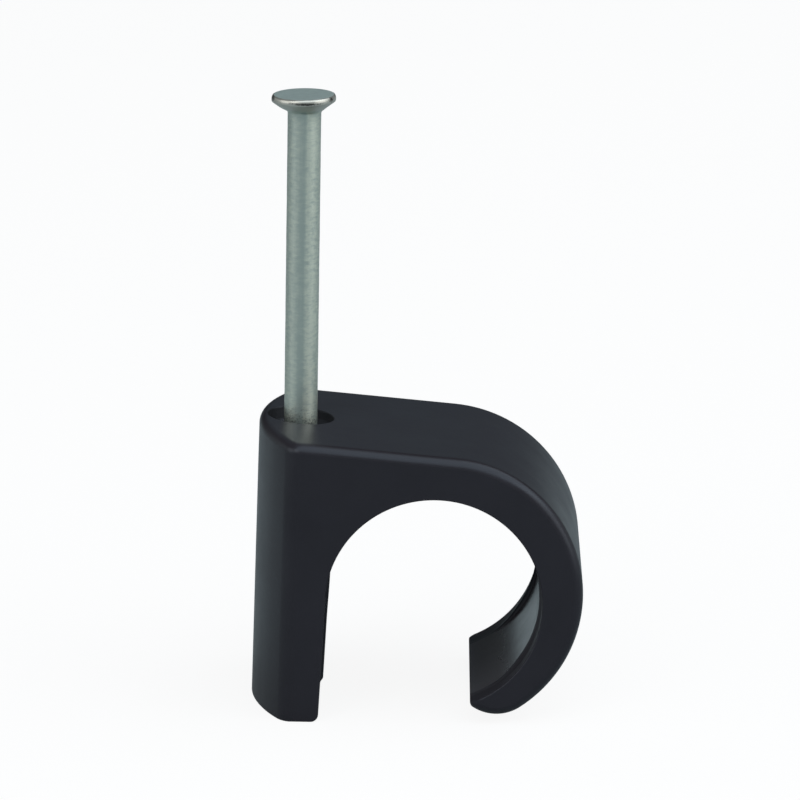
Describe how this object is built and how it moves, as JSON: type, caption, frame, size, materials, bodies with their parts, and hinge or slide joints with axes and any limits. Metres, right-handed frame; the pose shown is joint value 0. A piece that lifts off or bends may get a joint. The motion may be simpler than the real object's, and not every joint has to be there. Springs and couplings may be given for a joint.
{
  "type": "nail-in cable clip",
  "caption": "Black moulded hook-shaped cable clip with a steel nail started upright in its boss, to be driven so the hook holds a round cable against a wall",
  "frame": {"origin": "On the nail's axis, in the wall face of the foot", "axes": "+Z runs out of the wall along the nail to its head, +X runs from the nail to the hook, and Y runs along the cable"},
  "size_m": [0.0195, 0.0136, 0.0362],
  "materials": {
    "black_plastic": "as-moulded satin-gloss black polyethylene with softly rounded edges",
    "galvanised_steel": "dull zinc-coated grey-green shank with fine wrinkles and a brighter rim on the head"
  },
  "bodies": {
    "clip": {"clip_body": "black_plastic"},
    "nail": {"nail": "galvanised_steel"}
  },
  "joints": [
    {"name": "nail_drive", "type": "slide", "parent": "clip", "child": "nail", "axis": [0, 0, -1], "range_m": [0, 0.0196]}
  ]
}
